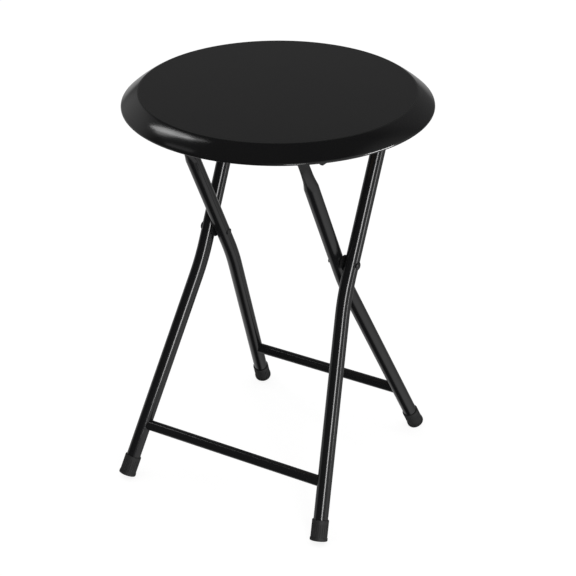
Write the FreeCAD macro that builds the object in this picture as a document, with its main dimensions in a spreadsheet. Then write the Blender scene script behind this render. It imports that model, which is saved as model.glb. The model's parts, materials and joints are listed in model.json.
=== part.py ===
"""Folding stool: a round padded seat on two crossed frames of bent steel tube.

Millimetres, +Z up. The origin is on the floor under the middle of the seat. X runs along the
pivot that the two frames turn on, and -Y is the side where the seat is hinged to the inner frame.
"""
import FreeCAD, Part
import math
import os
import re

import Sketcher

Vector = FreeCAD.Vector

# Driving sizes: name, value, meaning. Lengths in millimetres, angles in degrees.
SIZES = [
    ("seat_height", 457.0, "floor to the middle of the seat top"),
    ("seat_radius", 164.5, "seat, to its widest edge"),
    ("seat_thick", 17.8, "seat top to the underside of the hem"),
    ("crown", 1.3, "rise of the padded top from its edge to its middle"),
    ("rim_round", 2.0, "round of the rim's widest edge"),
    ("rim_turn", 47.4, "turn of that round, before the slope takes over"),
    ("rim_slope_r", 111.0, "bulge of the slope from that round up to the top's edge"),
    ("tuck_round", 1.8, "round where the cover turns under the board"),
    ("hem_width", 15.0, "cover folded flat under the board"),
    ("cover_t", 1.2, "vinyl cover"),
    ("cover_ease", 0.3, "play between the cover and what it wraps"),
    ("board_t", 9.0, "plywood seat board"),
    ("board_edge_gap", 2.5, "board edge to the inside of the cover"),
    ("bevel_gap", 0.5, "board's bevelled upper edge to the inside of the cover"),
    ("board_ease", 1.0, "round of the board's lower edge"),
    ("pivot_y", 1.0, "pivot of the frames behind the seat's middle"),
    ("pivot_drop", 168.7, "pivot of the frames below the seat board"),
    ("outer_lean", 25.6, "outer frame from upright, feet to the front"),
    ("inner_lean", 27.4, "inner frame from upright, feet to the back"),
    ("tube_d", 16.0, "leg tube"),
    ("tube_wall", 1.2, "wall of the leg tube"),
    ("outer_half", 91.0, "outer legs from the middle, at the pivot"),
    ("side_gap", 2.5, "between an outer and an inner leg at the pivot"),
    ("outer_bend_drop", 36.0, "bend of the outer legs below the pivot"),
    ("inner_bend_drop", 40.0, "bend of the inner legs below the pivot"),
    ("outer_splay", 7.6, "turn of the outer legs at the bend"),
    ("inner_splay", 7.5, "turn of the inner legs at the bend"),
    ("leg_bend_r", 300.0, "bend of the legs, at the tube's axis"),
    ("top_bend_r", 40.0, "bend into the top bar, at the tube's axis"),
    ("bar_d", 12.0, "crossbar tube"),
    ("bar_wall", 1.0, "wall of the crossbar tube"),
    ("outer_bar_height", 59.6, "outer crossbar above the floor, at its axis"),
    ("inner_bar_height", 61.6, "inner crossbar above the floor, at its axis"),
    ("weld_gap", 0.05, "between a crossbar's shaped end and its leg"),
    ("cap_height", 23.0, "foot cap"),
    ("cap_wall", 1.2, "wall of the foot cap"),
    ("cap_fit", 0.05, "play of the leg in its cap"),
    ("cap_floor", 3.0, "floor of the foot cap under the tube's end"),
    ("cap_round", 0.8, "rounded edges of the foot cap"),
    ("foot_flat", 0.5, "low edge of the cap, cut flat where it stands on the floor"),
    ("lip_height", 3.0, "lip round the base of the cap"),
    ("lip_proud", 0.5, "lip beyond the side of the cap"),
    ("groove_count", 24, "grooves round the cap"),
    ("groove_r", 0.5, "half-round groove"),
    ("groove_start", 0.8, "plain band between the lip and the grooves"),
    ("groove_end", 4.5, "plain band above the grooves"),
    ("rivet_d", 6.0, "pivot rivet"),
    ("rivet_head_d", 9.5, "domed head of the pivot rivet"),
    ("rivet_head_h", 1.6, "height of that head"),
    ("rivet_tail_d", 8.5, "clenched end of the pivot rivet, inboard"),
    ("rivet_tail_h", 0.9, "height of that end"),
    ("running_fit", 0.05, "radial play of a rivet in its hole"),
    ("swing_gap", 0.3, "play along the pivot between moving faces"),
    ("spacer_d", 17.0, "spacer between the legs"),
    ("hinge_drop", 21.0, "seat hinge below the seat board"),
    ("flat_width", 14.0, "leg end pressed flat and trimmed"),
    ("flat_thick", 3.0, "thickness of the pressed end"),
    ("flat_below", 16.0, "pressed end below the seat hinge"),
    ("flat_taper", 28.0, "taper from round tube to pressed end"),
    ("hinge_rivet_d", 6.0, "seat hinge rivet"),
    ("hinge_head_d", 11.0, "domed head of the hinge rivet"),
    ("hinge_head_h", 2.2, "height of that head"),
    ("hinge_washer_d", 14.0, "washer between leg end and ear"),
    ("hinge_washer_t", 1.0, "thickness of that washer"),
    ("plate_t", 2.0, "sheet of the hinge bracket"),
    ("ear_radius", 7.5, "round end of the bracket's ear"),
    ("bracket_width", 36.0, "ear face to flange face"),
    ("bracket_front", 15.8, "bracket ahead of the hinge"),
    ("bracket_rear", 43.7, "bracket behind the hinge"),
    ("flange_depth", 17.0, "outer flange below the board"),
    ("flange_corner", 6.0, "rounded corners of that flange"),
    ("bend_round", 1.5, "outside round of the bracket's bends"),
    ("hook_x", 36.0, "middle of a rest hook from the middle of the seat"),
    ("hook_width", 20.0, "rest hook along the bar"),
    ("hook_crest", 3.0, "rest hook above the bar"),
    ("hook_wall", 3.5, "rest hook behind the bar"),
    ("hook_drop", 5.0, "rest hook below the bar's axis"),
    ("hook_tip", 1.5, "round of the hook's tip"),
    ("hook_gap", 0.3, "play between hook and bar"),
    ("hook_front", 24.0, "hook base ahead of the bar's axis"),
    ("hook_rear", 26.0, "hook base behind the bar's axis"),
    ("screw_d", 4.0, "wood screw"),
    ("screw_head_d", 7.6, "pan head of the screw"),
    ("screw_head_h", 2.4, "height of that head"),
    ("screw_side_h", 0.7, "upright side of that head"),
    ("screw_bite", 7.5, "screw in the board"),
    ("screw_fit", 0.03, "radial play of a screw in its hole"),
    ("screw_edge", 9.0, "bracket screw from the edges of the plate"),
    ("hook_screw_edge", 6.5, "hook screw from the end of its base"),
    ("staple_count", 24, "staples round the hem"),
    ("staple_width", 10.0, "staple across its legs"),
    ("staple_wire", 1.2, "staple wire across"),
    ("staple_crown", 0.6, "staple's crown below the hem"),
    ("staple_leg", 5.0, "staple's legs in the board"),
    ("staple_inset", 6.0, "staple from the hem's inner edge"),
]
SIZE_NAMES = {name for name, value, meaning in SIZES}

doc = FreeCAD.newDocument("FoldingStool")
sheet = doc.addObject("Spreadsheet::Sheet", "Sizes")
for row, (name, value, meaning) in enumerate(SIZES, start=1):
    sheet.set(f"A{row}", name)
    sheet.set(f"B{row}", str(value))
    sheet.set(f"C{row}", meaning)
    sheet.setAlias(f"B{row}", name)
doc.recompute()

# Formulas that several pieces share.
TUBE_R = "(tube_d / 2)"
INNER_HALF = "(outer_half - tube_d - side_gap)"
HEM_Z = "(seat_height - seat_thick)"
BOARD_Z = f"({HEM_Z} + cover_t + cover_ease)"
BOARD_TOP = f"({BOARD_Z} + board_t)"
BOARD_R = "(seat_radius - cover_t - board_edge_gap)"
HEM_R = "(seat_radius - tuck_round - hem_width)"
PIVOT_Z = f"({BOARD_Z} - pivot_drop)"
HINGE_Z = f"({BOARD_Z} - hinge_drop)"
HINGE_RISE = "((pivot_drop - hinge_drop) / cos(inner_lean))"
HINGE_Y = f"(pivot_y - {HINGE_RISE} * sin(inner_lean))"
SADDLE_R = f"({TUBE_R} + hook_gap)"
BAR_Z = f"({BOARD_Z} - hook_crest - {SADDLE_R})"
BAR_RISE = f"(({BAR_Z} - {PIVOT_Z}) / cos(outer_lean))"
BAR_Y = f"(pivot_y + {BAR_RISE} * sin(outer_lean))"
CAP_R = f"({TUBE_R} + cap_fit + cap_wall)"
LIP_R = f"({CAP_R} + lip_proud)"
FLAT_IN = f"({INNER_HALF} - flat_thick / 2)"
FLAT_OUT = f"({INNER_HALF} + flat_thick / 2)"
EAR_OUT = f"({FLAT_IN} - swing_gap - hinge_washer_t)"
EAR_IN = f"({EAR_OUT} - plate_t)"
FLANGE_OUT = f"({EAR_IN} + bracket_width)"
BRACKET_FRONT = f"({HINGE_Y} - bracket_front)"
BRACKET_REAR = f"({HINGE_Y} + bracket_rear)"

# Each frame is drawn flat and upright with its pivot at the origin, then leaned into place.
OUTER_FRAME = f"placement(vector(0; pivot_y; {PIVOT_Z}); rotation(vector(-1; 0; 0); outer_lean))"
INNER_FRAME = f"placement(vector(0; pivot_y; {PIVOT_Z}); rotation(vector(1; 0; 0); inner_lean))"


def at(x, y, z):
    """A place in the seat's own frame, unturned."""
    return f"placement(vector({x}; {y}; {z}); rotation(vector(0; 0; 1); 0))"


def foot_reach(lean, splay, drop):
    """Distance from a leg's bend down to the base of its cap, whose low edge stands on the floor."""
    slope = f"(cos({lean}) * cos({splay}))"
    tilt = f"acos({slope})"
    lift = f"(({LIP_R} - cap_round) * sin({tilt}) + cap_round * (1 - cos({tilt})) - foot_flat)"
    return f"(({PIVOT_Z} - {drop} * cos({lean}) - {lift}) / {slope})"


OUTER_REACH = foot_reach("outer_lean", "outer_splay", "outer_bend_drop")
INNER_REACH = foot_reach("inner_lean", "inner_splay", "inner_bend_drop")

pieces = []


def tie(formula):
    """Point every size that a formula names at its cell in the sheet."""
    def cell(word):
        return "Sizes." + word.group() if word.group() in SIZE_NAMES else word.group()
    return re.sub(r"[a-z]\w*", cell, formula)


def number(formula):
    """The present value of a formula, which places a sketch's first lines."""
    value = sheet.evalExpression(tie(formula))
    return float(getattr(value, "Value", value))


def keep(piece, label):
    """Name a finished piece and put it on the list of pieces to write."""
    piece.Label = label
    pieces.append(piece)
    return piece


def mirrored(piece, name):
    """The left-hand twin of a right-hand piece."""
    twin = doc.addObject("Part::Mirroring", name)
    twin.Source = piece
    twin.Normal = Vector(1, 0, 0)
    return twin


def keep_pair(piece, label):
    """Keep a right-hand piece and its left-hand twin."""
    keep(piece, label + "_right")
    keep(mirrored(piece, label + "_twin"), label + "_left")
    return piece


def new_body(name, placement=None):
    body = doc.addObject("PartDesign::Body", name)
    if placement:
        body.setExpression("Placement", tie(placement))
    return body


def origin(body, role):
    return next(item for item in body.Origin.OriginFeatures if item.Role == role)


def new_sketch(body, plane, name, offset=None):
    """A sketch on one of the body's own planes, moved along the plane's normal."""
    sketch = body.newObject("Sketcher::SketchObject", name)
    sketch.AttachmentSupport = [(origin(body, plane), "")]
    sketch.MapMode = "FlatFace"
    if offset:
        sketch.setExpression("AttachmentOffset.Base.z", tie(offset))
    return sketch


def hold(sketch, kind, where, formula):
    """Constrain one point or arc of a sketch to a formula."""
    index = sketch.addConstraint(Sketcher.Constraint(kind, *where, number(formula)))
    sketch.setExpression(f"Constraints[{index}]", tie(formula))


def draw_circle(sketch, x, y, radius):
    centre = Vector(number(x), number(y), 0)
    index = sketch.addGeometry(Part.Circle(centre, Vector(0, 0, 1), number(radius)), False)
    hold(sketch, "DistanceX", (index, 3), x)
    hold(sketch, "DistanceY", (index, 3), y)
    hold(sketch, "Radius", (index,), radius)


def arc_between(start, end, radius, turn):
    """The short arc between two corners that turns left or right on the way."""
    chord = end - start
    middle = (start + end) * 0.5
    side = Vector(-chord.y, chord.x, 0).normalize()
    rise = math.sqrt(radius ** 2 - (chord.Length / 2) ** 2)
    centre = middle + side * (rise if turn == "left" else -rise)
    ends = (start, end) if turn == "left" else (end, start)
    angles = [math.atan2(point.y - centre.y, point.x - centre.x) for point in ends]
    return Part.ArcOfCircle(Part.Circle(centre, Vector(0, 0, 1), radius), *angles)


def draw_path(sketch, corners, closed=True):
    """Lines and arcs through corners: (x, y), or (x, y, radius, turn) to arrive by an arc."""
    points = [Vector(number(corner[0]), number(corner[1]), 0) for corner in corners]
    runs = []
    for step in range(len(corners) if closed else len(corners) - 1):
        after = (step + 1) % len(corners)
        if len(corners[after]) == 2:
            index = sketch.addGeometry(Part.LineSegment(points[step], points[after]), False)
            runs.append((index, 1, 2))
            continue
        radius, turn = corners[after][2:]
        arc = arc_between(points[step], points[after], number(radius), turn)
        index = sketch.addGeometry(arc, False)
        runs.append((index, 1, 2) if turn == "left" else (index, 2, 1))
        hold(sketch, "Radius", (index,), radius)
    for (index, head, tail), corner in zip(runs, corners):
        hold(sketch, "DistanceX", (index, head), corner[0])
        hold(sketch, "DistanceY", (index, head), corner[1])
    followers = runs[1:] + runs[:1] if closed else runs[1:]
    for (index, head, tail), (next_index, next_head, next_tail) in zip(runs, followers):
        sketch.addConstraint(Sketcher.Constraint("Coincident", index, tail, next_index, next_head))
    if not closed:
        index, head, tail = runs[-1]
        hold(sketch, "DistanceX", (index, tail), corners[-1][0])
        hold(sketch, "DistanceY", (index, tail), corners[-1][1])


def add_feature(body, kind, name, sketch):
    feature = body.newObject("PartDesign::" + kind, name)
    feature.Profile = sketch
    body.Tip = feature
    return feature


def pipe(body, name, section, path):
    feature = add_feature(body, "AdditivePipe", name, section)
    feature.Spine = (path, [])
    return feature


def pad(body, name, sketch, length, both_ways=False):
    feature = add_feature(body, "Pad", name, sketch)
    feature.setExpression("Length", tie(length))
    feature.SideType = "Symmetric" if both_ways else "One side"
    return feature


def cut_through(body, name, sketch):
    """Cut a sketch right through the body, both ways."""
    doc.recompute()
    feature = add_feature(body, "Pocket", name, sketch)
    feature.Type = "ThroughAll"
    feature.SideType = "Symmetric"
    return feature


def cut_upward(body, name, sketch, depth):
    """Cut a sketch into the body along the sketch's own normal."""
    doc.recompute()
    feature = add_feature(body, "Pocket", name, sketch)
    feature.setExpression("Length", tie(depth))
    feature.Reversed = True
    return feature


def turned(body, name, sketch, axis="V_Axis"):
    """Turn a sketch once round its own upright or level axis."""
    feature = add_feature(body, "Revolution", name, sketch)
    feature.ReferenceAxis = (sketch, [axis])
    feature.Angle = 360.0
    return feature


def ring_of(body, name, feature, count):
    """Repeat a feature evenly round the body's upright axis."""
    doc.recompute()
    ring = body.newObject("PartDesign::PolarPattern", name)
    ring.Originals = [feature]
    ring.Axis = (origin(body, "Z_Axis"), [""])
    ring.Angle = 360.0
    ring.setExpression("Occurrences", tie(count))
    body.Tip = ring
    return ring


def cylinder(name, radius, length, placement):
    """A plain round bar from its own origin along its own Z."""
    bar = doc.addObject("Part::Cylinder", name)
    bar.setExpression("Radius", tie(radius))
    bar.setExpression("Height", tie(length))
    bar.setExpression("Placement", tie(placement))
    return bar


def cut(name, base, tool):
    result = doc.addObject("Part::Cut", name)
    result.Base = base
    result.Tool = tool
    return result


def dome(half, height):
    """Radius of a shallow dome from its half width and its height."""
    return f"((({half}) ^ 2 + ({height}) ^ 2) / (2 * ({height})))"


def leg_path(half, drop, splay, reach):
    """Corners of a leg's axis from above its bend down to the tube's end inside the foot cap."""
    lead = f"(leg_bend_r * tan({splay} / 2))"
    end = f"({reach} - cap_floor)"
    return [
        (half, f"{lead} - {drop}"),
        (f"{half} + {lead} * sin({splay})", f"-{drop} - {lead} * cos({splay})", "leg_bend_r", "left"),
        (f"{half} + {end} * sin({splay})", f"-{drop} - {end} * cos({splay})"),
    ]


def leg_place(frame, half, drop, splay, reach):
    """The place of a foot: the middle of its base, with Z pointing up the leg."""
    middle = f"vector({half} + {reach} * sin({splay}); 0; -{drop} - {reach} * cos({splay}))"
    return f"{frame} * placement({middle}; rotation(vector(0; 1; 0); -{splay}))"


def make_crossbar(label, frame, half, drop, splay, reach, bar_drop):
    """A tube between the two legs of a frame, its ends shaped to the legs that it is welded to."""
    length = f"({half} + ({bar_drop} - {drop}) * tan({splay}))"
    start = f"{frame} * placement(vector(-{length}; 0; -{bar_drop}); rotation(vector(0; 1; 0); 90))"
    rod = cylinder(label + "_rod", "bar_d / 2", f"2 * {length}", start)
    bore = cylinder(label + "_bore", "bar_d / 2 - bar_wall", f"2 * {length}", start)
    place = leg_place(frame, half, drop, splay, reach)
    leg = cylinder(label + "_leg", f"{TUBE_R} + weld_gap", f"{reach} / 2", place)
    tube = cut(label + "_tube", rod, bore)
    shaped = cut(label + "_right_end", tube, leg)
    return keep(cut(label + "_both_ends", shaped, mirrored(leg, label + "_left_leg")), label)


def make_foot_cap(label, place):
    """A ribbed rubber sleeve with a floor and a lip, pushed over the end of a leg."""
    body = new_body(label, place)
    outline = new_sketch(body, "XZ_Plane", label + "_outline")
    bore = f"({TUBE_R} + cap_fit)"
    draw_path(outline, [
        ("0", "0"),
        (f"{LIP_R} - cap_round", "0"),
        (LIP_R, "cap_round", "cap_round", "left"),
        (LIP_R, "lip_height"),
        (CAP_R, "lip_height"),
        (CAP_R, "cap_height - cap_round"),
        (f"{CAP_R} - cap_round", "cap_height", "cap_round", "left"),
        (bore, "cap_height"),
        (bore, "cap_floor"),
        ("0", "cap_floor"),
    ])
    turned(body, label + "_sleeve", outline)
    groove = new_sketch(body, "XY_Plane", label + "_groove", "lip_height + groove_start")
    draw_circle(groove, CAP_R, "0", "groove_r")
    depth = "cap_height - lip_height - groove_start - groove_end"
    first = cut_upward(body, label + "_first_groove", groove, depth)
    ring_of(body, label + "_grooves", first, "groove_count")
    return keep_pair(cut(label + "_standing", body, floor), label)


def make_rivet(label, place, tail, tail_d, tail_h, head, head_d, head_h, shank_d):
    """A rivet along X between two faces, domed beyond both of them."""
    body = new_body(label, place)
    outline = new_sketch(body, "XZ_Plane", label + "_outline")
    draw_path(outline, [
        (f"{tail} - {tail_h}", "0"),
        (tail, f"{tail_d} / 2", dome(f"{tail_d} / 2", tail_h), "right"),
        (tail, f"{shank_d} / 2"),
        (head, f"{shank_d} / 2"),
        (head, f"{head_d} / 2"),
        (f"{head} + {head_h}", "0", dome(f"{head_d} / 2", head_h), "right"),
    ])
    turned(body, label + "_turned", outline, "H_Axis")
    return keep_pair(body, label)


def make_ring(label, place, start, thickness, outside, bore):
    """A flat ring round an axis along X."""
    body = new_body(label, place)
    section = new_sketch(body, "YZ_Plane", label + "_section", start)
    draw_circle(section, "0", "0", outside)
    draw_circle(section, "0", "0", bore)
    pad(body, label + "_ring", section, thickness)
    return keep_pair(body, label)


def make_screw(name, x, y, plate):
    """A pan-head wood screw driven up through a plate into the seat board."""
    body = new_body(name, at(x, y, f"{BOARD_Z} - {plate}"))
    outline = new_sketch(body, "XZ_Plane", name + "_outline")
    curve = dome("screw_head_d / 2", "screw_head_h - screw_side_h")
    draw_path(outline, [
        ("0", "-screw_head_h"),
        ("screw_head_d / 2", "-screw_side_h", curve, "left"),
        ("screw_head_d / 2", "0"),
        ("screw_d / 2", "0"),
        ("screw_d / 2", f"{plate} + screw_bite - screw_d / 2"),
        ("0", f"{plate} + screw_bite"),
    ])
    turned(body, name + "_turned", outline)
    return body


def keep_screws(label, places, plate):
    """One node with the screws at the given places and their left-hand twins."""
    right = [make_screw(f"{label}_{count}", x, y, plate) for count, (x, y) in enumerate(places)]
    group = doc.addObject("Part::Compound", label + "_group")
    group.Links = right + [mirrored(screw, screw.Name + "_twin") for screw in right]
    return keep(group, label)


# The floor, as a block below the stool that cuts the feet flat.
floor = doc.addObject("Part::Box", "floor_block")
floor.setExpression("Length", tie("4 * seat_radius"))
floor.setExpression("Width", tie("4 * seat_radius"))
floor.setExpression("Height", tie("cap_height"))
floor.setExpression("Placement", tie(at("-2 * seat_radius", "-2 * seat_radius", "-cap_height")))

# Outer frame: one tube bent into an inverted U, from the middle of its top bar down to each foot.
body = new_body("outer_tube_body", OUTER_FRAME)
path = new_sketch(body, "XZ_Plane", "outer_path")
top_corners = [
    ("0", BAR_RISE),
    ("outer_half - top_bend_r", BAR_RISE),
    ("outer_half", f"{BAR_RISE} - top_bend_r", "top_bend_r", "right"),
]
OUTER_LEG = ("outer_half", "outer_bend_drop", "outer_splay", OUTER_REACH)
draw_path(path, top_corners + leg_path(*OUTER_LEG), closed=False)
section = new_sketch(body, "YZ_Plane", "outer_section")
draw_circle(section, "0", BAR_RISE, TUBE_R)
draw_circle(section, "0", BAR_RISE, f"{TUBE_R} - tube_wall")
right_half = pipe(body, "outer_right_half", section, path)
doc.recompute()
both_halves = body.newObject("PartDesign::Mirrored", "outer_both_halves")
both_halves.Originals = [right_half]
both_halves.MirrorPlane = (origin(body, "YZ_Plane"), [""])
body.Tip = both_halves
holes = new_sketch(body, "YZ_Plane", "outer_pivot_holes")
draw_circle(holes, "0", "0", "rivet_d / 2 + running_fit")
cut_through(body, "outer_pivot_cut", holes)
keep(body, "outer_tube")
OUTER_BAR_DROP = f"(({PIVOT_Z} - outer_bar_height) / cos(outer_lean))"
make_crossbar("outer_crossbar", OUTER_FRAME, *OUTER_LEG, OUTER_BAR_DROP)
make_foot_cap("outer_foot_cap", leg_place(OUTER_FRAME, *OUTER_LEG))

# Inner frame: two legs, each pressed flat at its top, where the seat bracket is riveted on.
ROUND_TOP = f"({HINGE_RISE} - flat_below - flat_taper)"
FLAT_START = f"({HINGE_RISE} - flat_below)"
INNER_LEG = (INNER_HALF, "inner_bend_drop", "inner_splay", INNER_REACH)
body = new_body("inner_leg_body", INNER_FRAME)
path = new_sketch(body, "XZ_Plane", "inner_path")
draw_path(path, [(INNER_HALF, ROUND_TOP)] + leg_path(*INNER_LEG), closed=False)
section = new_sketch(body, "XY_Plane", "inner_section", ROUND_TOP)
draw_circle(section, INNER_HALF, "0", TUBE_R)
draw_circle(section, INNER_HALF, "0", f"{TUBE_R} - tube_wall")
pipe(body, "inner_round_tube", section, path)
# The press spreads most of the tube's girth over the two wide faces, so the round end is split there.
SPLIT_X = f"({TUBE_R} * sin(180 * flat_thick / (flat_thick + flat_width) / 2))"
SPLIT_Y = f"({TUBE_R} * cos(180 * flat_thick / (flat_thick + flat_width) / 2))"
round_end = new_sketch(body, "XY_Plane", "inner_round_end", ROUND_TOP)
draw_path(round_end, [
    (f"{INNER_HALF} + {SPLIT_X}", f"-{SPLIT_Y}", TUBE_R, "left"),
    (f"{INNER_HALF} + {TUBE_R}", "0", TUBE_R, "left"),
    (f"{INNER_HALF} + {SPLIT_X}", SPLIT_Y, TUBE_R, "left"),
    (f"{INNER_HALF} - {SPLIT_X}", SPLIT_Y, TUBE_R, "left"),
    (f"{INNER_HALF} - {TUBE_R}", "0", TUBE_R, "left"),
    (f"{INNER_HALF} - {SPLIT_X}", f"-{SPLIT_Y}", TUBE_R, "left"),
])
flat_end = new_sketch(body, "XY_Plane", "inner_flat_end", FLAT_START)
draw_path(flat_end, [
    (FLAT_OUT, "-flat_width / 2"),
    (FLAT_OUT, "0"),
    (FLAT_OUT, "flat_width / 2"),
    (FLAT_IN, "flat_width / 2"),
    (FLAT_IN, "0"),
    (FLAT_IN, "-flat_width / 2"),
])
taper = add_feature(body, "AdditiveLoft", "inner_taper", round_end)
taper.Sections = [flat_end]
taper.Ruled = True
plate = new_sketch(body, "YZ_Plane", "inner_plate", INNER_HALF)
draw_path(plate, [
    ("-flat_width / 2", FLAT_START),
    ("flat_width / 2", FLAT_START),
    ("flat_width / 2", HINGE_RISE),
    ("0", f"{HINGE_RISE} + flat_width / 2", "flat_width / 2", "left"),
    ("-flat_width / 2", HINGE_RISE, "flat_width / 2", "left"),
])
pad(body, "inner_pressed_end", plate, "flat_thick", both_ways=True)
holes = new_sketch(body, "YZ_Plane", "inner_holes")
draw_circle(holes, "0", "0", "rivet_d / 2 + running_fit")
draw_circle(holes, "0", HINGE_RISE, "hinge_rivet_d / 2 + running_fit")
cut_through(body, "inner_hole_cut", holes)
keep_pair(body, "inner_leg")
INNER_BAR_DROP = f"(({PIVOT_Z} - inner_bar_height) / cos(inner_lean))"
make_crossbar("inner_crossbar", INNER_FRAME, *INNER_LEG, INNER_BAR_DROP)
make_foot_cap("inner_foot_cap", leg_place(INNER_FRAME, *INNER_LEG))

# Scissor pivot: a rivet through both legs of a side, and a spacer that holds them apart.
PIVOT = at("0", "pivot_y", PIVOT_Z)
PIVOT_TAIL = f"({INNER_HALF} - {TUBE_R} - swing_gap)"
PIVOT_HEAD = f"(outer_half + {TUBE_R} + running_fit)"
PIVOT_ENDS = (PIVOT_TAIL, "rivet_tail_d", "rivet_tail_h", PIVOT_HEAD, "rivet_head_d", "rivet_head_h")
make_rivet("pivot_rivet", PIVOT, *PIVOT_ENDS, "rivet_d")
SPACER_IN = f"({INNER_HALF} + {TUBE_R} + swing_gap)"
SPACER_T = "(side_gap - swing_gap - running_fit)"
make_ring("pivot_spacer", PIVOT, SPACER_IN, SPACER_T, "spacer_d / 2", "rivet_d / 2 + running_fit")

# Seat hinge: the ear of each bracket is riveted to the inboard face of a pressed leg end.
HINGE = at("0", HINGE_Y, HINGE_Z)
HINGE_TAIL = f"({EAR_IN} - running_fit)"
HINGE_HEAD = f"({FLAT_OUT} + swing_gap)"
HINGE_DOME = ("hinge_head_d", "hinge_head_h")
make_rivet("hinge_rivet", HINGE, HINGE_TAIL, *HINGE_DOME, HINGE_HEAD, *HINGE_DOME, "hinge_rivet_d")
WASHER_BORE = "(hinge_rivet_d / 2 + running_fit)"
make_ring("hinge_washer", HINGE, EAR_OUT, "hinge_washer_t", "hinge_washer_d / 2", WASHER_BORE)

BRACKET_SCREWS = [
    (f"{FLANGE_OUT} - screw_edge", f"{BRACKET_FRONT} + screw_edge"),
    (f"{FLANGE_OUT} - screw_edge", f"{BRACKET_REAR} - screw_edge"),
    (f"{EAR_IN} + screw_edge", f"{BRACKET_REAR} - screw_edge"),
]
PLATE_Z = f"({BOARD_Z} - plate_t)"
body = new_body("hinge_bracket_body")
base = new_sketch(body, "XY_Plane", "bracket_base", PLATE_Z)
draw_path(base, [
    (EAR_IN, BRACKET_FRONT),
    (FLANGE_OUT, BRACKET_FRONT),
    (FLANGE_OUT, BRACKET_REAR),
    (EAR_IN, BRACKET_REAR),
])
for x, y in BRACKET_SCREWS:
    draw_circle(base, x, y, "screw_d / 2 + screw_fit")
pad(body, "bracket_plate", base, "plate_t")
ear = new_sketch(body, "YZ_Plane", "bracket_ear", EAR_IN)
draw_path(ear, [
    (BRACKET_FRONT, PLATE_Z),
    (f"{HINGE_Y} - ear_radius", HINGE_Z),
    (HINGE_Y, f"{HINGE_Z} - ear_radius", "ear_radius", "left"),
    (f"{HINGE_Y} + ear_radius", HINGE_Z, "ear_radius", "left"),
    (BRACKET_REAR, PLATE_Z),
])
draw_circle(ear, HINGE_Y, HINGE_Z, "hinge_rivet_d / 2 + running_fit")
pad(body, "bracket_ear_plate", ear, "plate_t")
flange = new_sketch(body, "YZ_Plane", "bracket_flange", f"{FLANGE_OUT} - plate_t")
FLANGE_Z = f"({BOARD_Z} - flange_depth)"
draw_path(flange, [
    (BRACKET_FRONT, PLATE_Z),
    (BRACKET_FRONT, f"{FLANGE_Z} + flange_corner"),
    (f"{BRACKET_FRONT} + flange_corner", FLANGE_Z, "flange_corner", "left"),
    (f"{BRACKET_REAR} - flange_corner", FLANGE_Z),
    (BRACKET_REAR, f"{FLANGE_Z} + flange_corner", "flange_corner", "left"),
    (BRACKET_REAR, PLATE_Z),
])
bent_sheet = pad(body, "bracket_flange_plate", flange, "plate_t")
doc.recompute()
bend_edges = []
for count, edge in enumerate(bent_sheet.Shape.Edges, start=1):
    middle = edge.CenterOfMass
    along_bend = edge.BoundBox.YLength > number("bracket_rear")
    at_side = min(abs(middle.x - number(EAR_IN)), abs(middle.x - number(FLANGE_OUT))) < 0.01
    if along_bend and at_side and abs(middle.z - number(BOARD_Z)) < 0.01:
        bend_edges.append(f"Edge{count}")
bends = body.newObject("PartDesign::Fillet", "bracket_bends")
bends.Base = (bent_sheet, bend_edges)
bends.setExpression("Radius", tie("bend_round"))
body.Tip = bends
keep_pair(body, "hinge_bracket")
keep_screws("bracket_screws", BRACKET_SCREWS, "plate_t")

# Rest hook: the top bar bears up into it and back against it, and leaves it forwards and down.
HOOK_SCREWS = [
    ("hook_x", f"{BAR_Y} - hook_front + hook_screw_edge"),
    ("hook_x", f"{BAR_Y} + hook_rear - hook_screw_edge"),
]
HOOK_BACK = f"({BAR_Y} + {SADDLE_R} + hook_wall)"
HOOK_LOW = f"({BAR_Z} - hook_drop)"
body = new_body("rest_hook_body")
side = new_sketch(body, "YZ_Plane", "hook_side", "hook_x")
draw_path(side, [
    (f"{BAR_Y} - hook_front", BOARD_Z),
    (f"{BAR_Y} - hook_front", f"{BOARD_Z} - hook_crest"),
    (BAR_Y, f"{BOARD_Z} - hook_crest"),
    (f"{BAR_Y} + {SADDLE_R}", BAR_Z, SADDLE_R, "right"),
    (f"{BAR_Y} + {SADDLE_R}", HOOK_LOW),
    (f"{HOOK_BACK} - hook_tip", HOOK_LOW),
    (HOOK_BACK, f"{HOOK_LOW} + hook_tip", "hook_tip", "left"),
    (HOOK_BACK, f"{BOARD_Z} - hook_crest"),
    (f"{BAR_Y} + hook_rear", f"{BOARD_Z} - hook_crest"),
    (f"{BAR_Y} + hook_rear", BOARD_Z),
])
pad(body, "hook_block", side, "hook_width", both_ways=True)
holes = new_sketch(body, "XY_Plane", "hook_holes")
for x, y in HOOK_SCREWS:
    draw_circle(holes, x, y, "screw_d / 2 + screw_fit")
cut_through(body, "hook_hole_cut", holes)
keep_pair(body, "rest_hook")
keep_screws("hook_screws", HOOK_SCREWS, "hook_crest")

# Rim of the seat: a round at its widest edge, then a slope that bulges a little, up to the top's edge.
WIDE_Z = f"({HEM_Z} + tuck_round)"
EDGE_Z = "(seat_height - crown)"
TIGHT_X = "(seat_radius - rim_round)"
SLOPE_X = f"({TIGHT_X} - (rim_slope_r - rim_round) * cos(rim_turn))"
SLOPE_Z = f"({WIDE_Z} - (rim_slope_r - rim_round) * sin(rim_turn))"


def rim_join(depth):
    """Where the slope meets the round of the widest edge, on a skin at some depth below the cover's face."""
    radius = f"(rim_round - {depth})"
    return f"{TIGHT_X} + {radius} * cos(rim_turn)", f"{WIDE_Z} + {radius} * sin(rim_turn)"


def slope_x(depth, z):
    """How far out the slope is at a height, on a skin at some depth."""
    return f"({SLOPE_X} + sqrt((rim_slope_r - {depth}) ^ 2 - ({z} - {SLOPE_Z}) ^ 2))"


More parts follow.
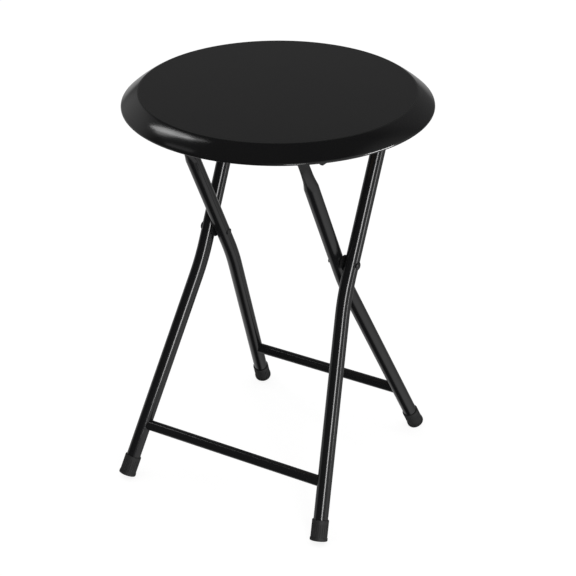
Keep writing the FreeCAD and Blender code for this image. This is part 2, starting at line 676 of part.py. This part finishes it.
# Seat board: a plywood disc, bevelled to fit under the slope and drilled for the screws of both kinds.
BEVEL_DEPTH = "(cover_t + bevel_gap)"
BEVEL_Z = f"({SLOPE_Z} + sqrt((rim_slope_r - {BEVEL_DEPTH}) ^ 2 - ({BOARD_R} - {SLOPE_X}) ^ 2))"
body = new_body("seat_board_body")
outline = new_sketch(body, "XZ_Plane", "board_outline")
draw_path(outline, [
    ("0", BOARD_Z),
    (f"{BOARD_R} - board_ease", BOARD_Z),
    (BOARD_R, f"{BOARD_Z} + board_ease", "board_ease", "left"),
    (BOARD_R, BEVEL_Z),
    (slope_x(BEVEL_DEPTH, BOARD_TOP), BOARD_TOP),
    ("0", BOARD_TOP),
])
turned(body, "board_disc", outline)
holes = new_sketch(body, "XY_Plane", "board_holes", BOARD_Z)
for x, y in BRACKET_SCREWS + HOOK_SCREWS:
    draw_circle(holes, x, y, "screw_d / 2 + screw_fit")
    draw_circle(holes, f"-({x})", y, "screw_d / 2 + screw_fit")
cut_upward(body, "board_hole_cut", holes, "screw_bite + screw_fit")
keep(body, "seat_board")

# Foam pad: flat on the board, sloped at its side and crowned on top.
PAD_DEPTH = "(cover_t + cover_ease)"
PAD_EDGE_Z = f"({EDGE_Z} - {PAD_DEPTH})"
PAD_R = slope_x(PAD_DEPTH, PAD_EDGE_Z)
body = new_body("seat_foam_body")
outline = new_sketch(body, "XZ_Plane", "foam_outline")
draw_path(outline, [
    ("0", BOARD_TOP),
    (slope_x(PAD_DEPTH, BOARD_TOP), BOARD_TOP),
    (PAD_R, PAD_EDGE_Z, f"rim_slope_r - {PAD_DEPTH}", "left"),
    ("0", f"seat_height - {PAD_DEPTH}", dome(PAD_R, "crown"), "left"),
])
turned(body, "foam_pad", outline)
keep(body, "seat_foam")

# Vinyl cover: a skin over the pad, tucked round the board's edge into a flat hem below.
body = new_body("seat_cover_body")
outline = new_sketch(body, "XZ_Plane", "cover_outline")
TUCK_X = "(seat_radius - tuck_round)"
TOP_R = slope_x("0", EDGE_Z)
INSIDE_Z = f"({EDGE_Z} - cover_t)"
INSIDE_R = slope_x("cover_t", INSIDE_Z)
draw_path(outline, [
    ("0", "seat_height"),
    (TOP_R, EDGE_Z, dome(TOP_R, "crown"), "right"),
    (*rim_join("0"), "rim_slope_r", "right"),
    ("seat_radius", WIDE_Z, "rim_round", "right"),
    (TUCK_X, HEM_Z, "tuck_round", "right"),
    (HEM_R, HEM_Z),
    (HEM_R, f"{HEM_Z} + cover_t"),
    (TUCK_X, f"{HEM_Z} + cover_t"),
    ("seat_radius - cover_t", WIDE_Z, "tuck_round - cover_t", "left"),
    (*rim_join("cover_t"), "rim_round - cover_t", "left"),
    (INSIDE_R, INSIDE_Z, "rim_slope_r - cover_t", "left"),
    ("0", "seat_height - cover_t", dome(INSIDE_R, "crown"), "left"),
])
turned(body, "cover_skin", outline)
keep(body, "seat_cover")

# Staples: each lies across the hem with its legs driven up into the board.
body = new_body("seat_staples_body")
body.AllowCompound = True
STAPLE_X = f"({HEM_R} + staple_inset - staple_wire / 2)"
LEG_TOP = f"({BOARD_Z} + staple_leg)"
outline = new_sketch(body, "YZ_Plane", "staple_outline", STAPLE_X)
draw_path(outline, [
    ("-staple_width / 2", f"{HEM_Z} - staple_crown"),
    ("staple_width / 2", f"{HEM_Z} - staple_crown"),
    ("staple_width / 2", LEG_TOP),
    ("staple_width / 2 - staple_wire", LEG_TOP),
    ("staple_width / 2 - staple_wire", HEM_Z),
    ("staple_wire - staple_width / 2", HEM_Z),
    ("staple_wire - staple_width / 2", LEG_TOP),
    ("-staple_width / 2", LEG_TOP),
])
first_staple = pad(body, "first_staple", outline, "staple_wire")
ring_of(body, "staple_ring", first_staple, "staple_count")
keep(body, "seat_staples")

doc.recompute()

for item in doc.Objects:
    troubles = [state for state in item.State if state in ("Invalid", "Error")]
    if troubles:
        raise RuntimeError(f"{item.Label} is {', '.join(troubles)}")
    if item.isDerivedFrom("PartDesign::Pocket") and item.Shape.Volume >= item.BaseFeature.Shape.Volume:
        raise RuntimeError(f"{item.Label} cuts nothing")
for piece in pieces:
    if piece.Shape.isNull() or not piece.Shape.isValid() or not piece.Shape.Solids:
        raise RuntimeError(f"{piece.Label} has no sound solid")

os.makedirs("parts", exist_ok=True)
for piece in pieces:
    piece.Shape.exportStep(f"parts/{piece.Label}.step")
    box = piece.Shape.optimalBoundingBox(False)
    print(f"{piece.Label}: {len(piece.Shape.Solids)} solid(s), {piece.Shape.Volume:.1f} mm3,",
          f"x {box.XMin:.1f} to {box.XMax:.1f},", f"y {box.YMin:.1f} to {box.YMax:.1f},",
          f"z {box.ZMin:.2f} to {box.ZMax:.2f}")
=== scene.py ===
# %% [markdown]
# # A folding stool: round padded seat on crossed frames of bent tube
#
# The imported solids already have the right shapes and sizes, so this lesson dresses them: it sets up
# a camera and a small studio, mixes the finishes, makes the soft seat, and paints every piece.
# The solids are loaded first, because every other piece takes its place from them.

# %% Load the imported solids
import json
import math

import bmesh
import bpy
from mathutils import Matrix, Vector


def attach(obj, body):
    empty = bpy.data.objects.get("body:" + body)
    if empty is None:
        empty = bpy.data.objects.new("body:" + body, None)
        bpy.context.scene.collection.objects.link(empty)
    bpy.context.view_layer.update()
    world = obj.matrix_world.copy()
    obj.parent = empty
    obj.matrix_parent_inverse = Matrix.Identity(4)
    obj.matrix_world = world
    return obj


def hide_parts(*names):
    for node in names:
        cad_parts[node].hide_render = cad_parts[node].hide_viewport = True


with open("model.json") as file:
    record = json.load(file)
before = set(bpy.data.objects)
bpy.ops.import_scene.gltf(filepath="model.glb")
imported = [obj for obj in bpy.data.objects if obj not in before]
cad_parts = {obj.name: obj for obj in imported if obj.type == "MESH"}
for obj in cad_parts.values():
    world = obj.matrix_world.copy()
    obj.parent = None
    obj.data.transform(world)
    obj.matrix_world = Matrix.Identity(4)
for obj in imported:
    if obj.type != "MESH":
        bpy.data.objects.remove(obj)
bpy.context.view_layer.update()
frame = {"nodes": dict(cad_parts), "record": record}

nodes = frame["nodes"]
MM = 0.001

# %% [markdown]
# ## Camera
#
# A camera can be matched to a photograph by eye, but small errors in its height and lens show up as
# legs that lean too much. Here the eye point, the aim point and the lens were fitted together to
# the edges of the seat, the legs and the feet, so they are plain numbers.

# %% Camera
EYE = Vector((880.2, -1466.8, 1124.4)) * MM
AIM = Vector((12.2, 0.0, 222.7)) * MM
SENSOR_MM, LENS_MM = 36.0, 109.1
camera_data = bpy.data.cameras.new("photo_camera")
camera_data.sensor_width = SENSOR_MM
camera_data.lens = LENS_MM
camera = bpy.data.objects.new("photo_camera", camera_data)
camera.location = EYE
camera.rotation_euler = (AIM - EYE).to_track_quat("-Z", "Y").to_euler()
bpy.context.scene.collection.objects.link(camera)
bpy.context.scene.camera = camera
print(f"camera {(AIM - EYE).length:.2f} m from the stool, lens {LENS_MM} mm")

# %% [markdown]
# ## Helpers for shader nodes
#
# Colours are written as the hex values that a picture editor shows, and shaders calculate with
# linear light, so one function turns one into the other. The next two add a node, set its options
# and fill its inputs, either with a plain value or with another node's output. The last one fades
# from one level to another, which studio and finishes both need again and again.

# %% Colour and node helpers
def linear(hex_colour):
    """An sRGB hex colour as linear red, green, blue and alpha."""
    channels = [int(hex_colour[place:place + 2], 16) / 255 for place in (1, 3, 5)]
    return [c / 12.92 if c <= 0.04045 else ((c + 0.055) / 1.055) ** 2.4 for c in channels] + [1.0]


def fill_inputs(tree, node, inputs):
    """Fill a node's inputs with plain values or with other nodes' outputs."""
    for key, value in inputs.items():
        if isinstance(value, bpy.types.NodeSocket):
            tree.links.new(value, node.inputs[key])
        else:
            node.inputs[key].default_value = value


def add_node(tree, kind, options=None, inputs=None):
    """Add a node, set its options, and fill its inputs."""
    node = tree.nodes.new(kind)
    for name, value in (options or {}).items():
        setattr(node, name, value)
    fill_inputs(tree, node, inputs or {})
    return node


def fade(tree, value, start=0.0, end=1.0, low=0.0, high=1.0, kind="LINEAR"):
    """Go from a low to a high level while a value goes from its start to its end."""
    return add_node(tree, "ShaderNodeMapRange", {"interpolation_type": kind},
                    {"Value": value, "From Min": start, "From Max": end,
                     "To Min": low, "To Max": high}).outputs[0]


print("mid grey", [round(channel, 3) for channel in linear("#808080")])

# %% [markdown]
# ## Studio surroundings
#
# A black glossy tube shows its roundness only through what it mirrors, so the room that it mirrors
# is painted with care. Each patch of pale wall is a soft glow about one direction: the dot product
# of that direction and the ray is the cosine of the angle between them, and a smooth step fades it
# out.

# %% Mirrored walls
WALL_PATCHES = (
    # azimuth, elevation, angle where the glow ends, angle where it is full, level
    (-102, 10, 32, 10, 0.36),
    (115, 20, 39, 21, 0.34),
    (65, 5, 53, 18, 0.4),
    (-165, 22, 48, 25, 0.136),
)
scene = bpy.context.scene
scene.view_settings.view_transform = "Standard"
world = bpy.data.worlds.new("studio_room")
world.use_nodes = True
scene.world = world
room = world.node_tree
room.nodes.clear()
ray = add_node(room, "ShaderNodeTexCoord").outputs["Generated"]


def towards(azimuth, elevation):
    """A direction, with azimuth 0 at the front of the stool and 90 on its right."""
    turn, rise = math.radians(azimuth), math.radians(elevation)
    return (math.sin(turn) * math.cos(rise), -math.cos(turn) * math.cos(rise), math.sin(rise))


def ray_along(direction):
    """Cosine of the angle between the ray and a direction."""
    return add_node(room, "ShaderNodeVectorMath", {"operation": "DOT_PRODUCT"},
                    {0: ray, 1: direction}).outputs["Value"]


def soft_glow(azimuth, elevation, edge, core, level):
    """A glow about a direction, from nothing at one angle up to its full level at a smaller one."""
    return fade(room, ray_along(towards(azimuth, elevation)), math.cos(math.radians(edge)),
                math.cos(math.radians(core)), high=level, kind="SMOOTHSTEP")


def calculate(operation, *values):
    """The result of a math node."""
    return add_node(room, "ShaderNodeMath", {"operation": operation},
                    dict(enumerate(values))).outputs[0]


walls = soft_glow(*WALL_PATCHES[0])
for patch in WALL_PATCHES[1:]:
    walls = calculate("ADD", walls, soft_glow(*patch))
print(len(WALL_PATCHES), "pale patches on the walls")

# %% [markdown]
# The mirrored floor is pale to both sides and dark under the stool and towards the camera. On the
# right it is palest near the camera. The camera itself sees plain white, and diffuse light gets one
# even level, so that colours come out about as they are written.

# %% Mirrored floor and world
BACK_SHARE = 0.65
PALE_FADE, DARK_LEVEL = (0.05, 0.5), 0.02
NEAR_RIGHT, NEAR_FADE = (0.6, -0.8, 0.0), (-0.4, 0.35)
FAR_RIGHT_LEVEL, NEAR_RIGHT_LEVEL = 0.2, 0.76
LEFT_LEVEL, LEFT_FADE = 0.5, (-0.5, 0.0)
HORIZON_FADE = (0.04, -0.08)
ROOM_LEVEL, CAMERA_LEVEL = 0.68, 1.0


def mix_levels(share, first, second):
    """A level between two others."""
    return add_node(room, "ShaderNodeMix", None, {0: share, 2: first, 3: second}).outputs[0]


across, along, height = add_node(room, "ShaderNodeSeparateXYZ", None, {0: ray}).outputs
spread = calculate("MULTIPLY_ADD", along, BACK_SHARE, calculate("ABSOLUTE", across))
pale_floor = fade(room, spread, *PALE_FADE, low=DARK_LEVEL, kind="SMOOTHSTEP")
right_level = fade(room, ray_along(NEAR_RIGHT), *NEAR_FADE, FAR_RIGHT_LEVEL, NEAR_RIGHT_LEVEL)
floor_level = mix_levels(fade(room, across, *LEFT_FADE), LEFT_LEVEL, right_level)
ground = calculate("MULTIPLY", pale_floor, floor_level)
below = fade(room, height, *HORIZON_FADE, kind="SMOOTHSTEP")
mirrored_room = mix_levels(below, walls, ground)
rays = add_node(room, "ShaderNodeLightPath").outputs
in_mirror = calculate("MAXIMUM", rays["Is Glossy Ray"], rays["Is Transmission Ray"])
lit = mix_levels(in_mirror, ROOM_LEVEL, mirrored_room)
seen = mix_levels(rays["Is Camera Ray"], lit, CAMERA_LEVEL)
background = add_node(room, "ShaderNodeBackground", None,
                      {"Color": linear("#ffffff"), "Strength": seen})
add_node(room, "ShaderNodeOutputWorld", None, {"Surface": background.outputs[0]})
print("world: one even level for diffuse light,", ROOM_LEVEL)

# %% [markdown]
# ## Floor
#
# The floor is one large pale disc. To stay white in the picture without flooding the stool with
# light, part of its brightness is a glow that only the camera sees. The rest is ordinary diffuse
# paint, which keeps the soft shadow under the feet.

# %% Floor
FLOOR_RADIUS, FLOOR_SIDES = 30.0, 96
floor_paint = bpy.data.materials.new("pale_floor_paint")
floor_paint.use_nodes = True
tree = floor_paint.node_tree
tree.nodes.clear()
rays = add_node(tree, "ShaderNodeLightPath").outputs
matt = add_node(tree, "ShaderNodeBsdfDiffuse", None, {"Color": linear("#8c8c8c")})
glow = add_node(tree, "ShaderNodeEmission", None,
                {"Color": linear("#ececec"), "Strength": rays["Is Camera Ray"]})
both = add_node(tree, "ShaderNodeAddShader", None, {0: matt.outputs[0], 1: glow.outputs[0]})
add_node(tree, "ShaderNodeOutputMaterial", None, {"Surface": both.outputs[0]})
disc = bmesh.new()
bmesh.ops.create_circle(disc, cap_ends=True, segments=FLOOR_SIDES, radius=FLOOR_RADIUS)
floor_mesh = bpy.data.meshes.new("floor")
disc.to_mesh(floor_mesh)
disc.free()
floor_mesh.materials.append(floor_paint)
floor = bpy.data.objects.new("floor", floor_mesh)
floor.visible_glossy = False
scene.collection.objects.link(floor)
print("floor laid at z = 0")

# %% [markdown]
# ## Lamps
#
# Soft boxes give the glossy faces their highlights, and each is placed by what should mirror it. A
# long box hangs high on the left, tilted, and draws the bright band along the left of the seat's
# rim. A shorter box widens the low end of that band, a thin one draws its high end out to a point,
# and a faint strip gives the softer gleam under it. Two strips to the right of the camera, one above
# the other, draw the fine line down each outer leg. A low strip on the far right draws a second,
# fainter line on the legs.

# %% Soft boxes
LAMP_AIM = Vector((0.0, 0.0, 0.4))


def add_soft_box(name, start, end, width, radiance, shape="RECTANGLE"):
    """A strip of light from one point to another, aimed at the stool and as bright as asked."""
    start, end = Vector(start), Vector(end)
    lamp = bpy.data.lights.new(name, "AREA")
    lamp.shape = shape
    lamp.size, lamp.size_y = width, (end - start).length
    filled = math.pi / 4 if shape == "ELLIPSE" else 1.0
    lamp.energy = radiance * math.pi * filled * lamp.size * lamp.size_y
    stand = bpy.data.objects.new(name, lamp)
    middle = (start + end) / 2
    outward = (middle - LAMP_AIM).normalized()
    side = (end - start).cross(outward).normalized()
    turn = Matrix((side, outward.cross(side), outward)).transposed()
    stand.matrix_world = Matrix.Translation(middle) @ turn.to_4x4()
    scene.collection.objects.link(stand)
    return stand


add_soft_box("high_left_box", (-1.80, 0.10, 1.62), (-1.14, -0.33, 2.21), 0.15, 4.8, "ELLIPSE")
add_soft_box("high_left_fill", (-1.74, -0.05, 1.70), (-1.42, -0.24, 2.02), 0.18, 2.0, "ELLIPSE")
add_soft_box("high_left_tail", (-1.45, -0.22, 1.99), (-0.93, -0.36, 2.33), 0.08, 2.5, "ELLIPSE")
add_soft_box("faint_left_strip", (-1.60, -0.53, 1.88), (-1.10, -0.80, 2.17), 0.10, 0.5)
add_soft_box("low_right_strip", (1.47, -1.63, 0.05), (1.49, -1.61, 0.45), 0.50, 11.0)
leg_strip = add_soft_box("high_right_strip", (1.49, -1.61, 0.45), (1.54, -1.57, 1.15), 0.50, 11.0)
add_soft_box("low_far_right_strip", (2.195, 0.15, 0.0), (2.195, 0.15, 0.45), 0.27, 5.0)
rim_box = add_soft_box("rim_box", (2.13, 0.54, 0.05), (2.13, 0.54, 0.44), 0.85, 24.0)
print("eight soft boxes lit")

# %% [markdown]
# Two of the boxes must not light everything. From behind, the flat top of the seat would mirror the
# high strip in white. A photographer would hold a black card between the two, and light linking
# does the same here. The broad, low box behind the far strip is there for the glint along the rim's
# lower edge, so it is linked to the seat alone and kept out of the diffuse light.

# %% Light linking
below_seat = bpy.data.collections.new("lit_by_high_right_strip")
below_seat.objects.link(floor)
for name, node in nodes.items():
    if not name.startswith("seat_"):
        below_seat.objects.link(node)
leg_strip.light_linking.receiver_collection = below_seat
seat_alone = bpy.data.collections.new("lit_by_rim_box")
rim_box.light_linking.receiver_collection = seat_alone
rim_box.visible_diffuse = False

# %% [markdown]
# ## Finishes
#
# Each finish starts from what the real one is and how it was made. Patterns are drawn on Object
# coordinates, which are metres here, so a feature of so many millimetres needs a texture scale of
# 1000 divided by that size.

# %% Helpers for finishes
def per_metre(size_mm):
    """Texture scale that draws one feature per given size."""
    return 1000.0 / size_mm


def start_finish(name):
    """An empty material: its node tree, the coordinates of the piece, and its shader."""
    finish = bpy.data.materials.new(name)
    finish.use_nodes = True
    tree = finish.node_tree
    tree.nodes.clear()
    place = add_node(tree, "ShaderNodeTexCoord").outputs["Object"]
    shader = add_node(tree, "ShaderNodeBsdfPrincipled")
    add_node(tree, "ShaderNodeOutputMaterial", None, {"Surface": shader.outputs[0]})
    return finish, tree, place, shader


def noise(tree, place, size_mm, detail):
    """A cloudy pattern with features of about a given size."""
    return add_node(tree, "ShaderNodeTexNoise", None,
                    {"Vector": place, "Scale": per_metre(size_mm), "Detail": detail}).outputs["Fac"]


def blend(tree, share, first, second):
    """A colour between two others."""
    return add_node(tree, "ShaderNodeMix", {"data_type": "RGBA"},
                    {0: share, 6: first, 7: second}).outputs[2]


def emboss(tree, pattern, strength, depth_mm, invert=False):
    """Surface directions for a pattern that stands up, or is sunk in, by a given depth."""
    return add_node(tree, "ShaderNodeBump", {"invert": invert},
                    {"Strength": strength, "Distance": depth_mm * MM, "Height": pattern}).outputs[0]


print("one millimetre needs a scale of", per_metre(1.0))

# %% [markdown]
# ### Black upholstery vinyl
#
# Seat vinyl is a soft PVC film rolled on to cloth, with a fine leather-like grain pressed into it.
# Over the flat top the grain stands up and the face looks satin. Round the rim the film is
# stretched, the grain flattens out and the face turns glossy, so roughness follows the distance
# from the middle. The real grain is about 0.8 mm. It is drawn at 1.6 mm, because finer cells vanish
# in the picture.

# %% Black upholstery vinyl
seat_vinyl, tree, place, shader = start_finish("black_upholstery_vinyl")
GRAIN_MM, BLOTCH_MM = 1.6, 45.0
RIM_START, RIM_END = 144.8 * MM, 146.0 * MM
flat_place = add_node(tree, "ShaderNodeVectorMath", {"operation": "MULTIPLY"},
                      {0: place, 1: (1.0, 1.0, 0.0)})
from_middle = add_node(tree, "ShaderNodeVectorMath", {"operation": "LENGTH"},
                       {0: flat_place.outputs[0]})
on_rim = fade(tree, from_middle.outputs["Value"], RIM_START, RIM_END, kind="SMOOTHSTEP")
grain = add_node(tree, "ShaderNodeTexVoronoi", {"feature": "SMOOTH_F1"},
                 {"Vector": place, "Scale": per_metre(GRAIN_MM), "Smoothness": 0.6})
grain_strength = fade(tree, on_rim, low=0.16, high=0.012)
blotches = noise(tree, place, BLOTCH_MM, detail=3.0)
fill_inputs(tree, shader, {
    "Base Color": blend(tree, blotches, linear("#181819"), linear("#1b1b1b")),
    "Roughness": fade(tree, on_rim, low=0.34, high=0.12),
    "IOR": 1.5,
    "Normal": emboss(tree, grain.outputs["Distance"], grain_strength, depth_mm=0.3, invert=True),
})
print("vinyl grain", GRAIN_MM, "mm")

# %% [markdown]
# ### Black baked enamel
#
# The tubes and brackets are steel with black enamel baked on. The coat is hard and glossy, and it
# flows out with a faint orange peel, waves a few millimetres long that make the highlight lines
# quiver a little. Enamel is a dielectric, so it isn't metallic, and its index is about 1.5.

# %% Black baked enamel
black_enamel, tree, place, shader = start_finish("black_baked_enamel")
PEEL_MM, FILM_MM = 8.0, 60.0
peel = noise(tree, place, PEEL_MM, detail=1.0)
film = noise(tree, place, FILM_MM, detail=2.0)
fill_inputs(tree, shader, {
    "Base Color": blend(tree, film, linear("#171718"), linear("#1b1b1c")),
    "Roughness": fade(tree, film, low=0.08, high=0.16),
    "IOR": 1.5,
    "Normal": emboss(tree, peel, strength=0.025, depth_mm=0.3),
})
print("enamel orange peel", PEEL_MM, "mm")

# %% [markdown]
# ### Moulded black rubber
#
# The foot caps are moulded rubber: dull, a shade lighter than the enamel, with a fine tooth from
# the mould and a little pale bloom that never wipes off evenly.

# %% Moulded black rubber
foot_rubber, tree, place, shader = start_finish("moulded_black_rubber")
TOOTH_MM, BLOOM_MM = 0.9, 7.0
tooth = noise(tree, place, TOOTH_MM, detail=2.0)
bloom = noise(tree, place, BLOOM_MM, detail=4.0)
fill_inputs(tree, shader, {
    "Base Color": blend(tree, bloom, linear("#1a1a1b"), linear("#272727")),
    "Roughness": fade(tree, bloom, low=0.55, high=0.8),
    "IOR": 1.52,
    "Normal": emboss(tree, tooth, strength=0.25, depth_mm=0.2),
})
print("rubber tooth", TOOTH_MM, "mm, bloom", BLOOM_MM, "mm")

# %% [markdown]
# ### Moulded black nylon
#
# Spacers, hinge washers and rest hooks are injection-moulded nylon, with the satin face that a
# spark-eroded mould leaves.

# %% Moulded black nylon
black_nylon, tree, place, shader = start_finish("moulded_black_nylon")
SPARK_MM, FLOW_MM = 0.6, 12.0
spark = noise(tree, place, SPARK_MM, detail=1.0)
flow = noise(tree, place, FLOW_MM, detail=2.0)
fill_inputs(tree, shader, {
    "Base Color": blend(tree, flow, linear("#161617"), linear("#1d1d1e")),
    "Roughness": 0.42,
    "IOR": 1.53,
    "Normal": emboss(tree, spark, strength=0.15, depth_mm=0.1),
})
print("nylon mould texture", SPARK_MM, "mm")

# %% [markdown]
# ### Birch plywood
#
# The seat board is rotary-cut plywood, left bare underneath. The face veneer shows long wavy grain
# with fine dark pores along it, so one noise is stretched along X and another breaks it up.

# %% Birch plywood
seat_plywood, tree, place, shader = start_finish("birch_plywood")
FIGURE_MM = (120.0, 7.0, 20.0)
PORE_MM = (9.0, 0.7, 5.0)
PORE_FADE, PORE_LEVEL = (0.58, 0.72), 0.55


def stretched_noise(sizes_mm, detail, distortion=0.0):
    """A cloudy pattern of different sizes along X, Y and Z."""
    scaled = add_node(tree, "ShaderNodeMapping", None,
                      {"Vector": place, "Scale": [per_metre(size) for size in sizes_mm]})
    return add_node(tree, "ShaderNodeTexNoise", None,
                    {"Vector": scaled.outputs[0], "Scale": 1.0, "Detail": detail,
                     "Distortion": distortion}).outputs["Fac"]


figure = stretched_noise(FIGURE_MM, detail=5.0, distortion=0.6)
pores = fade(tree, stretched_noise(PORE_MM, detail=2.0), *PORE_FADE, high=PORE_LEVEL)
veneer = blend(tree, figure, linear("#c9a576"), linear("#a98253"))
fill_inputs(tree, shader, {
    "Base Color": blend(tree, pores, veneer, linear("#7d5a36")),
    "Roughness": 0.68,
    "IOR": 1.48,
    "Normal": emboss(tree, pores, strength=0.2, depth_mm=0.2, invert=True),
})
print("plywood grain", FIGURE_MM[0], "by", FIGURE_MM[1], "mm")

# %% [markdown]
# ### Bright zinc plate
#
# Screws and staples are plated with zinc: a metal with a faint blue cast, dulled here and there.

# %% Bright zinc plate
zinc_plate, tree, place, shader = start_finish("bright_zinc_plate")
DULLING_MM = 2.0
dulling = noise(tree, place, DULLING_MM, detail=3.0)
fill_inputs(tree, shader, {
    "Base Color": blend(tree, dulling, linear("#bfc2c4"), linear("#9d9fa0")),
    "Metallic": 1.0,
    "Roughness": fade(tree, dulling, low=0.25, high=0.45),
})
print("zinc dulling", DULLING_MM, "mm")

# %% [markdown]
# ## The padded seat
#
# Vinyl is drawn tight over foam and a board, and tucked under the board's edge. The seat is round,
# so half of its outline is drawn first and then spun once round the middle. The outline itself is
# drawn the same way: spinning one vertex about the middle of a round leaves an arc of edges behind.
# From the crown it goes over the top's edge, down the slope of the rim, round a small lip at its
# foot, which catches the low light, and under to the hem. The board takes the hollow inside, so the
# outline then runs back under the foam and closes on the axis.

# %% Rounds of the seat's outline, in millimetres and degrees
SEAT_TOP, SEAT_RADIUS, HEM_Z = 457.0, 164.5, 439.2
CROWN, EDGE_ROUND, RIM_ROUND = 1.3, 5.0, 2.0
SLOPE_ROUND, RIM_TURN = 111.0, 47.4
LIP_ROUND, LIP_TURN, TUCK_TURN = 4.0, 20.0, 8.0
TUCK_ROUND, HEM_WIDTH, COVER = 1.5, 15.0, 1.2
BOARD_TOP, BOARD_FLAT = 449.8, 152.3


def next_middle(x, z, round_before, round_after, degrees):
    """Middle of the next round, so that two rounds of the outline meet smoothly at an angle."""
    reach = round_before - round_after
    return x + reach * math.cos(math.radians(degrees)), z + reach * math.sin(math.radians(degrees))


tight_x = SEAT_RADIUS - RIM_ROUND
lip_x, lip_z = next_middle(tight_x, 0.0, RIM_ROUND, LIP_ROUND, LIP_TURN)
tuck_x, tuck_z = next_middle(lip_x, lip_z, LIP_ROUND, TUCK_ROUND, TUCK_TURN)
tight_z = HEM_Z + TUCK_ROUND - tuck_z
lip_z, tuck_z = lip_z + tight_z, tuck_z + tight_z
slope_x, slope_z = next_middle(tight_x, tight_z, RIM_ROUND, SLOPE_ROUND, RIM_TURN)
edge_z = SEAT_TOP - CROWN - EDGE_ROUND
edge_turn = math.degrees(math.asin((edge_z - slope_z) / (SLOPE_ROUND - EDGE_ROUND)))
edge_x = slope_x + (SLOPE_ROUND - EDGE_ROUND) * math.cos(math.radians(edge_turn))
crown_round = (edge_x ** 2 + CROWN ** 2) / (2 * CROWN)
crown_turn = math.degrees(math.asin(edge_x / crown_round))
print(f"flat top {2 * edge_x:.0f} mm across")

# %% Draw the outline
seat = bmesh.new()


def outline_arc(start, x, z, degrees, steps):
    """Spin one vertex about a point of the outline's plane, and give the last vertex of the arc."""
    made = bmesh.ops.spin(seat, geom=[start], cent=Vector((x, 0, z)) * MM, axis=(0, 1, 0),
                          angle=math.radians(degrees), steps=steps, use_duplicate=False)
    return next(item for item in made["geom_last"] if isinstance(item, bmesh.types.BMVert))


def outline_line(start, x, z, steps=1):
    """Extrude a vertex along a straight line, in equal steps."""
    stride = (Vector((x, 0, z)) * MM - start.co) / steps
    for step in range(steps):
        made = bmesh.ops.extrude_vert_indiv(seat, verts=[start])
        bmesh.ops.translate(seat, verts=made["verts"], vec=stride)
        start = made["verts"][0]
    return start


corner = seat.verts.new(Vector((0, 0, SEAT_TOP)) * MM)
corner = outline_arc(corner, 0, SEAT_TOP - crown_round, crown_turn, steps=28)
corner = outline_arc(corner, edge_x, edge_z, 90 - edge_turn, steps=8)
corner = outline_arc(corner, slope_x, slope_z, edge_turn - RIM_TURN, steps=12)
corner = outline_arc(corner, tight_x, tight_z, RIM_TURN - LIP_TURN, steps=6)
corner = outline_arc(corner, lip_x, lip_z, LIP_TURN - TUCK_TURN, steps=4)
corner = outline_arc(corner, tuck_x, tuck_z, TUCK_TURN + 90, steps=8)
corner = outline_line(corner, tuck_x - HEM_WIDTH, HEM_Z, steps=10)
corner = outline_line(corner, tuck_x - HEM_WIDTH, HEM_Z + COVER)
corner = outline_line(corner, tuck_x, HEM_Z + COVER)
corner = outline_arc(corner, tuck_x, tuck_z, -90, steps=3)
corner = outline_line(corner, tight_x, tight_z)
corner = outline_line(corner, BOARD_FLAT, BOARD_TOP)
corner = outline_line(corner, 0, BOARD_TOP, steps=4)
print(f"seat outline: {len(seat.verts)} points")

# %% [markdown]
# The hem under the board is a flat sheet turned in on a circle, so it has too much length at its
# inner edge, and it gathers into small pleats between the staples. After the spin, the hem's points
# are lowered a little along two sets of waves, which keeps the pleats uneven without any random
# draw.

# %% Spin the seat and gather its hem
SPIN_STEPS, WELD = 240, 0.00001
PLEAT, PLEAT_SHARE = 0.9 * MM, 0.75
PLEAT_WAVES = ((0.6, 40, 0.0), (0.4, 27, 1.3))  # share, number round the seat, start in radians
HEM_SLACK, PLEAT_START = 0.1, 0.01
bmesh.ops.spin(seat, geom=seat.verts[:] + seat.edges[:], cent=(0, 0, 0), axis=(0, 0, 1),
               angle=2 * math.pi, steps=SPIN_STEPS, use_merge=True, use_duplicate=False)
bmesh.ops.remove_doubles(seat, verts=seat.verts, dist=WELD)
bmesh.ops.recalc_face_normals(seat, faces=seat.faces)
for point in seat.verts:
    inward = (tuck_x * MM - point.co.xy.length) / (HEM_WIDTH * MM)
    if point.co.z < (HEM_Z + HEM_SLACK) * MM and inward > PLEAT_START:
        turn = math.atan2(point.co.y, point.co.x)
        wave = sum(share * math.cos(count * turn + start) for share, count, start in PLEAT_WAVES)
        swell = math.sin(min(1.0, inward) * math.pi * PLEAT_SHARE)
        point.co.z -= PLEAT * max(0.0, wave) * swell
seat_mesh = bpy.data.meshes.new("seat_pad")
seat.to_mesh(seat_mesh)
seat.free()
seat_mesh.shade_smooth()
seat_mesh.materials.append(seat_vinyl)
seat_pad = bpy.data.objects.new("seat_pad", seat_mesh)
scene.collection.objects.link(seat_pad)
seat_alone.objects.link(seat_pad)
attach(seat_pad, "seat")
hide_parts("seat_cover", "seat_foam")
print(f"seat pad: {len(seat_mesh.polygons)} faces")

# %% [markdown]
# ## Paint the solids
#
# The metal, rubber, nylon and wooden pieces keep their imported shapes. Each gets the finish of its
# kind in place of the plain colour that it came with.

# %% Paint the solids
FINISHES = {
    "black_paint": black_enamel,
    "rivet_paint": black_enamel,
    "foot_rubber": foot_rubber,
    "black_nylon": black_nylon,
    "seat_plywood": seat_plywood,
    "seat_vinyl": seat_vinyl,
    "seat_foam": seat_vinyl,
    "zinc_steel": zinc_plate,
}
for part in frame["record"]["subparts"]:
    mesh = nodes[part["node"]].data
    mesh.materials.clear()
    mesh.materials.append(FINISHES[part["material_slot"]])
